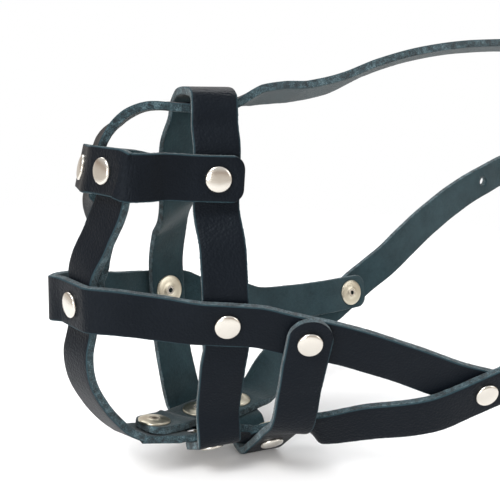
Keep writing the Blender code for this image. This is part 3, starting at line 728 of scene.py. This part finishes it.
def punched_holes(route):
    """The tongue's row of holes: the third is drawn out into a slot by the prong."""
    first = route.nearest(NECK_FAR[-1][0])
    slot_at = route.nearest(near_buckle(-6.0, 1.5))
    holes = []
    for distance in (first, first + PUNCH_SPACING, slot_at + PUNCH_SPACING, slot_at + 2 * PUNCH_SPACING):
        place, along, normal = route.at(distance)
        holes.append((place, normal, PUNCH_RADIUS, 0.0, along))
    place, along, normal = route.at(slot_at)
    holes.append((place, normal, PRONG_SLOT / 2, SLOT_LENGTH, along))
    return holes


def open_fold(obj, stuff):
    """Opens the fold round the hinge bar for the prong."""
    points = [
        near_buckle(distance, height, aside)
        for aside in (-PRONG_SLOT / 2, PRONG_SLOT / 2)
        for distance, height in ((-7.0, -9.0), (4.2, -9.0), (4.2, 2.4), (-7.0, 2.4))
    ]
    faces = [(0, 1, 2, 3), (4, 5, 6, 7), (0, 1, 5, 4), (1, 2, 6, 5), (2, 3, 7, 6), (3, 0, 4, 7)]
    subtract(obj, prism(obj.name + "_opening", points, faces, stuff))


def spots_on(name):
    """Where rivets press into a strap: centre, axis and radius."""
    spots = []
    for rivet, layer in CROSSINGS[name]:
        normal = vector(RIVETS[rivet][1]).normalized()
        spots.append((rivet_point(rivet, layer), normal, CAP_RADIUS + 0.2))
    return spots


def straps(stuff):
    """The seven straps, each in place of its solid."""
    for seed, (name, make) in enumerate(ROUTES.items()):
        route = make()
        rings = strap_rings(route, STRAP_ENDS.get(name, (CORNER, CORNER)), seed * 3.7, spots_on(name))
        obj = skin(name + "_leather", rings, stuff)
        if name == "tongue_strap":
            punch(obj, punched_holes(route), stuff)
        if name == "buckle_strap":
            open_fold(obj, stuff)
        place_piece(obj, "basket", name)


def place_piece(obj, body, node):
    """Lets a piece ride on a body and stand for a node."""
    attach(obj, body)
    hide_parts(node)


def keeper(stuff):
    """A narrow leather loop round both layers of the neck strap."""
    _, along, out, across = frame_of(BUCKLE_PLACE, BUCKLE_OUT, BUCKLE_ALONG)
    middle = near_buckle(KEEPER_AT, LAYER / 2 + 0.05)
    half_wide = WIDTH / 2 + 0.6
    half_high = (LEATHER * 2 + GAP) / 2 + 0.4
    bow = 0.5 + KEEPER_LEATHER / 2
    loop = []
    for index, (a, b) in enumerate(((1, 1), (-1, 1), (-1, -1), (1, -1))):
        corner = middle + across * a * (half_wide - 0.5) + out * b * (half_high - 0.5)
        for step in range(KEEPER_STEPS + 1):
            angle = math.pi / 2 * (index + step / KEEPER_STEPS)
            loop.append((corner, across * math.cos(angle) + out * math.sin(angle)))
    rings = []
    for index, (corner, flat) in enumerate(loop):
        ring = []
        for a, h, zone in profile(KEEPER_WIDTH / 2, KEEPER_LEATHER):
            point = corner + flat * (bow + h) + along * a
            if abs(a) > KEEPER_WIDTH / 2 - EDGE_BAND:
                point += along * math.copysign(noise.noise(point * 1.7) * EDGE_FUZZ, a)
            ring.append((point, zone, (a, h)))
        rings.append((index * 1.2, 0.3, ring))
    place_piece(skin("keeper_leather", rings, stuff, closed=True), "keeper", "keeper")


def turned(name, outline, place, axis, metal):
    """Turns a closed outline of (radius, height) points about an axis."""
    turn = vector(axis).normalized().to_track_quat("Z", "Y").to_matrix().to_4x4()
    frame = Matrix.Translation(vector(place)) @ turn
    points = []
    rows = []
    for radius, height in outline:
        if radius == 0:
            rows.append([len(points)] * ROUND_SIDES)
            points.append(frame @ Vector((0, 0, height)))
            continue
        rows.append([len(points) + side for side in range(ROUND_SIDES)])
        for side in range(ROUND_SIDES):
            angle = math.tau * side / ROUND_SIDES
            points.append(frame @ Vector((radius * math.cos(angle), radius * math.sin(angle), height)))
    faces = []
    for row, after in zip(rows, rows[1:] + rows[:1]):
        for side in range(ROUND_SIDES):
            other = (side + 1) % ROUND_SIDES
            corners = [row[side], row[other], after[other], after[side]]
            unique = [c for i, c in enumerate(corners) if c != corners[i - 1]]
            if len(unique) > 2:
                faces.append(tuple(unique))
    mesh = bpy.data.meshes.new(name)
    mesh.from_pydata([point * MM for point in points], [], faces)
    mesh.materials.append(metal)
    return finished(name, mesh)


def rivets(stuff):
    """Each rivet: a domed cap on a hollow post, and a flange with a rolled rim at the back."""
    for name, (place, axis, layers) in RIVETS.items():
        half = (layers * LEATHER + (layers - 1) * GAP) / 2
        top = half + SEAT_GAP
        cap = [(0, top + CAP_HEIGHT)]
        for step in range(1, CAP_STEPS + 1):
            share = step / CAP_STEPS
            cap.append((CAP_RADIUS * 0.9 * share, top + CAP_HEIGHT * (1 - 0.42 * share**2.6)))
        cap += [
            (CAP_RADIUS * 0.955, top + CAP_HEIGHT * 0.44),
            (CAP_RADIUS * 0.99, top + CAP_HEIGHT * 0.27),
            (CAP_RADIUS, top + CAP_HEIGHT * 0.08),
            (CAP_RADIUS * 0.985, half - 0.28),
            (POST_RADIUS, half - 0.28),
            (POST_RADIUS, -top - FLANGE_HEIGHT),
            (BORE_RADIUS, -top - FLANGE_HEIGHT),
            (BORE_RADIUS, -half + 1.2),
            (0, -half + 0.8),
        ]
        piece = turned(name + "_cap_metal", cap, place, axis, stuff["nickel"])
        place_piece(piece, "basket", name + "_cap")
        back = [
            (POST_RADIUS + 0.02, -half + 0.3),
            (FLANGE_RADIUS * 0.97, -half + 0.3),
            (FLANGE_RADIUS, -top - FLANGE_HEIGHT * 0.12),
            (FLANGE_RADIUS * 0.985, -top - FLANGE_HEIGHT * 0.36),
            (FLANGE_RADIUS * 0.93, -top - FLANGE_HEIGHT * 0.55),
            (FLANGE_RADIUS * 0.80, -top - FLANGE_HEIGHT * 0.72),
            (FLANGE_RADIUS * 0.60, -top - FLANGE_HEIGHT * 0.84),
            (POST_RADIUS + 1.1, -top - FLANGE_HEIGHT * 0.86),
            (POST_RADIUS + 0.75, -top - FLANGE_HEIGHT * 1.08),
            (POST_RADIUS + 0.35, -top - FLANGE_HEIGHT * 1.14),
            (POST_RADIUS + 0.02, -top - FLANGE_HEIGHT * 1.02),
        ]
        piece = turned(name + "_back_metal", back, place, axis, stuff["nickel_back"])
        place_piece(piece, "basket", name + "_back")


def set_stops(ramp, stops):
    """Gives a colour ramp its stops: each a position, and a colour or a grey level."""
    while len(ramp.elements) < len(stops):
        ramp.elements.new(0.5)
    for element, (position, color) in zip(ramp.elements, stops):
        element.position = position
        element.color = (*color, 1) if isinstance(color, tuple) else (color, color, color, 1)


class Nodes:
    """A small helper that adds shader nodes and joins them."""

    def __init__(self, name):
        self.material = bpy.data.materials.new(name)
        self.material.use_nodes = True
        self.tree = self.material.node_tree
        self.shader = self.tree.nodes["Principled BSDF"]

    def add(self, kind, settings=None, **inputs):
        """A node with inputs by name or, as _0, by number, each a constant or another node's output."""
        node = self.tree.nodes.new(kind)
        for key, value in (settings or {}).items():
            setattr(node, key, value)
        for key, value in inputs.items():
            socket = node.inputs[int(key[1:])] if key[0] == "_" else node.inputs[key.replace("_", " ")]
            if isinstance(value, bpy.types.NodeSocket):
                self.tree.links.new(value, socket)
            else:
                socket.default_value = value
        return node

    def math(self, operation, first, second=0.0, clamp=False):
        settings = {"operation": operation, "use_clamp": clamp}
        return self.add("ShaderNodeMath", settings, _0=first, _1=second).outputs[0]

    def noise(self, place, scale, detail=3.0, roughness=0.55):
        made = self.add("ShaderNodeTexNoise", Vector=place, Scale=scale, Detail=detail, Roughness=roughness)
        return made.outputs["Fac"]

    def ramp(self, value, *stops):
        node = self.add("ShaderNodeValToRGB", Fac=value)
        set_stops(node.color_ramp, stops)
        return node.outputs["Color"]

    def turned_place(self, place, rotation, scale):
        return self.add("ShaderNodeMapping", Vector=place, Rotation=rotation, Scale=scale).outputs[0]

    def along_strap(self, scale):
        """The distance along and across a strap, stretched."""
        strap = self.add("ShaderNodeUVMap", {"uv_map": "strap"}).outputs[0]
        return self.add("ShaderNodeMapping", Vector=strap, Scale=scale).outputs[0]

    def between(self, value, low, high):
        """A value from 0 to 1, moved to the range from low to high."""
        return self.add("ShaderNodeMapRange", Value=value, _3=low, _4=high).outputs[0]

    def mix(self, share, first, second):
        node = self.add("ShaderNodeMix", {"data_type": "RGBA"})
        for index, value in ((0, share), (6, first), (7, second)):
            if isinstance(value, bpy.types.NodeSocket):
                self.tree.links.new(value, node.inputs[index])
            else:
                node.inputs[index].default_value = (*value, 1) if isinstance(value, tuple) else value
        return node.outputs[2]

    def bump(self, height, strength, distance):
        return self.add("ShaderNodeBump", Height=height, Strength=strength, Distance=distance).outputs[0]

    def join(self, value, name):
        self.tree.links.new(value, self.shader.inputs[name])

    def set(self, **values):
        for key, value in values.items():
            self.shader.inputs[key.replace("_", " ")].default_value = value

    def place(self):
        return self.add("ShaderNodeTexCoord").outputs["Object"]

    def attribute(self, name):
        return self.add("ShaderNodeAttribute", {"attribute_name": name}).outputs["Fac"]


def grain_leather():
    """Waxed black grain side: fine pebble, wrinkles where it bends, worn lighter at the edges, faint scuffs."""
    n = Nodes("leather_grain")
    place = n.place()
    mottle = n.noise(place, 55.0, 4.0)
    pebble = n.add("ShaderNodeTexVoronoi", {"feature": "SMOOTH_F1"}, Vector=place, Scale=1150.0, Smoothness=0.5)
    fine = n.noise(place, 2600.0, 3.0)
    wrinkle = n.noise(n.along_strap((900.0, 170.0, 1.0)), 1.0, 4.0, 0.6)
    bend = n.attribute("bend")
    creases = n.math("MULTIPLY", n.math("ABSOLUTE", n.math("SUBTRACT", wrinkle, 0.5)), bend)
    scuff_place = n.turned_place(place, (0.5, 0.9, 0.4), (160.0, 1400.0, 420.0))
    scuffs = n.ramp(n.noise(scuff_place, 1.0, 2.0), (0.72, 0.0), (0.80, 1.0))
    outward = n.math("ADD", n.attribute("side"), n.math("MULTIPLY", mottle, 0.05))
    worn = n.ramp(outward, (0.955, 0.0), (1.0, 1.0))
    base = n.mix(mottle, GRAIN_DARK, GRAIN_LIGHT)
    base = n.mix(n.math("MULTIPLY", scuffs, 0.25), base, GRAIN_SCUFFED)
    base = n.mix(n.math("MULTIPLY", worn, 0.6), base, GRAIN_WORN)
    n.join(base, "Base Color")
    rough = n.between(mottle, 0.40, 0.54)
    n.join(n.math("ADD", rough, n.math("MULTIPLY", worn, 0.25), clamp=True), "Roughness")
    n.set(Specular_IOR_Level=0.12, Specular_Tint=GRAIN_GLOSS)
    height = n.math("ADD", n.math("MULTIPLY", pebble.outputs["Distance"], 1.2), n.math("MULTIPLY", fine, 0.45))
    height = n.math("SUBTRACT", height, n.math("MULTIPLY", creases, 6.0))
    height = n.math("ADD", height, n.math("MULTIPLY", mottle, 0.8))
    n.join(n.bump(height, 0.55, 0.00022), "Normal")
    return n.material


def flesh_leather():
    """The suede side: dyed teal grey, with fibres that catch the light."""
    n = Nodes("leather_flesh")
    place = n.place()
    patch = n.noise(place, 90.0, 4.0)
    fibre = n.noise(n.along_strap((650.0, 1500.0, 1.0)), 1.0, 5.0, 0.7)
    nap = n.noise(place, 1900.0, 3.0, 0.7)
    tone = n.math("ADD", n.math("MULTIPLY", patch, 0.5), n.math("MULTIPLY", fibre, 0.5))
    n.join(n.ramp(tone, (0.34, FLESH_DARK), (0.66, FLESH_LIGHT)), "Base Color")
    n.set(Roughness=0.95, Specular_IOR_Level=0.2, Sheen_Weight=0.25, Sheen_Roughness=0.5)
    n.join(n.bump(n.math("ADD", fibre, nap), 0.6, 0.0003), "Normal")
    return n.material


def cut_leather():
    """The raw cut edge: dark dye with lighter torn fibres."""
    n = Nodes("leather_edge")
    place = n.place()
    torn = n.noise(place, 2300.0, 4.0, 0.75)
    patch = n.noise(place, 430.0, 3.0)
    tone = n.math("ADD", n.math("MULTIPLY", torn, 0.6), n.math("MULTIPLY", patch, 0.4))
    n.join(n.ramp(tone, (0.42, EDGE_DARK), (0.52, EDGE_MIDDLE), (0.66, EDGE_TORN)), "Base Color")
    n.set(Roughness=1.0, Specular_IOR_Level=0.15, Sheen_Weight=0.2, Sheen_Roughness=0.6)
    n.join(n.bump(torn, 0.9, 0.0005), "Normal")
    return n.material


def nickel(name, color, roughness):
    """Polished nickel plate with faint brushing and handling marks."""
    n = Nodes(name)
    place = n.place()
    smudge = n.noise(place, 420.0, 4.0)
    marks = n.noise(n.turned_place(place, (0.3, 0.2, 0.8), (250.0, 5200.0, 900.0)), 1.0, 3.0)
    n.join(n.mix(smudge, tuple(c * 0.93 for c in color), color), "Base Color")
    n.join(n.between(smudge, roughness, roughness + 0.12), "Roughness")
    n.set(Metallic=1.0)
    n.join(n.bump(n.math("ADD", n.math("MULTIPLY", marks, 0.4), smudge), 0.10, 0.0001), "Normal")
    return n.material


def buckle(frame, stuff):
    """The buckle's own solids keep their shape and get round wire and a metal finish."""
    for name in ("buckle_frame", "buckle_prong"):
        obj = frame["nodes"][name]
        obj.data.materials.clear()
        obj.data.materials.append(stuff["nickel"])
        smooth = obj.modifiers.new("smooth", "SUBSURF")
        smooth.levels = smooth.render_levels = 2


def floor(low):
    """A pale floor at the object's lowest point, which fades into the white backdrop."""
    mesh = bpy.data.meshes.new("floor")
    corners = [(FLOOR_REACH * x, FLOOR_REACH * y, low) for x, y in ((-1, -1), (1, -1), (1, 1), (-1, 1))]
    mesh.from_pydata(corners, [], [(0, 1, 2, 3)])
    n = Nodes("floor")
    n.set(Base_Color=FLOOR_WHITE, Roughness=0.9, Specular_IOR_Level=0.1)
    far = n.add("ShaderNodeVectorMath", {"operation": "LENGTH"}, _0=n.place()).outputs["Value"]
    near, gone = FLOOR_FADE
    fade = {"interpolation_type": "SMOOTHSTEP"}
    alpha = n.add("ShaderNodeMapRange", fade, Value=far, _1=near, _2=gone, _3=1.0, _4=0.0)
    n.join(alpha.outputs[0], "Alpha")
    mesh.materials.append(n.material)
    obj = bpy.data.objects.new("floor", mesh)
    bpy.context.scene.collection.objects.link(obj)


def light(name, place, aim, size, power):
    """A soft rectangular light that points at its aim."""
    data = bpy.data.lights.new(name, "AREA")
    data.shape = "RECTANGLE"
    data.size, data.size_y = size
    data.energy = power
    obj = bpy.data.objects.new(name, data)
    obj.location = place
    obj.rotation_euler = (Vector(aim) - Vector(place)).to_track_quat("-Z", "Y").to_euler()
    bpy.context.scene.collection.objects.link(obj)


def surroundings():
    """A white backdrop, and a soft room, warm and dimmer just above the horizon, for the metal to reflect."""
    world = bpy.data.worlds.new("studio")
    world.use_nodes = True
    tree = world.node_tree
    ray = tree.nodes.new("ShaderNodeTexCoord").outputs["Generated"]
    split = tree.nodes.new("ShaderNodeSeparateXYZ")
    tree.links.new(ray, split.inputs[0])
    room = tree.nodes.new("ShaderNodeValToRGB")
    tree.links.new(split.outputs["Z"], room.inputs["Fac"])
    set_stops(room.color_ramp, ROOM)
    seen = tree.nodes.new("ShaderNodeMix")
    seen.data_type = "RGBA"
    tree.links.new(tree.nodes.new("ShaderNodeLightPath").outputs["Is Camera Ray"], seen.inputs[0])
    tree.links.new(room.outputs["Color"], seen.inputs[6])
    seen.inputs[7].default_value = WHITE
    tree.links.new(seen.outputs[2], tree.nodes["Background"].inputs["Color"])
    return world


def studio():
    bpy.context.scene.world = surroundings()
    for name, (place, aim, size, power) in LIGHTS.items():
        light(name, place, aim, size, power)
    bpy.context.scene.view_settings.view_transform = "Standard"


def camera():
    """The camera, placed by its angles: a turn from +Y towards +X, a tilt down, and a roll."""
    turn, down, roll = (math.radians(v) for v in (CAMERA_AZIMUTH, CAMERA_DOWN, CAMERA_ROLL))
    ahead = Vector((math.sin(turn) * math.cos(down), math.cos(turn) * math.cos(down), -math.sin(down)))
    level = Vector((math.cos(turn), -math.sin(turn), 0.0))
    upright = level.cross(ahead)
    right = level * math.cos(roll) + upright * math.sin(roll)
    up = upright * math.cos(roll) - level * math.sin(roll)
    data = bpy.data.cameras.new("camera")
    data.lens = CAMERA_LENS
    data.sensor_width = CAMERA_SENSOR
    data.shift_x, data.shift_y = CAMERA_SHIFT
    data.clip_start = 0.01
    obj = bpy.data.objects.new("camera", data)
    obj.matrix_world = Matrix.Translation(CAMERA_PLACE) @ Matrix((right, up, -ahead)).transposed().to_4x4()
    bpy.context.scene.collection.objects.link(obj)
    bpy.context.scene.camera = obj


def main():
    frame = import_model()
    solid_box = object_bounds()
    RIVETS["buckle_fold"] = (tuple(near_buckle(12.5, -LAYER / 2)), BUCKLE_OUT, 2)
    stuff = {
        "grain": grain_leather(),
        "flesh": flesh_leather(),
        "edge": cut_leather(),
        "nickel": nickel("nickel_plate", PLATE, 0.16),
        "nickel_back": nickel("nickel_flange", FLANGE, 0.27),
    }
    straps(stuff)
    keeper(stuff)
    rivets(stuff)
    buckle(frame, stuff)
    camera()
    studio()
    floor(solid_box[0][2])


main()
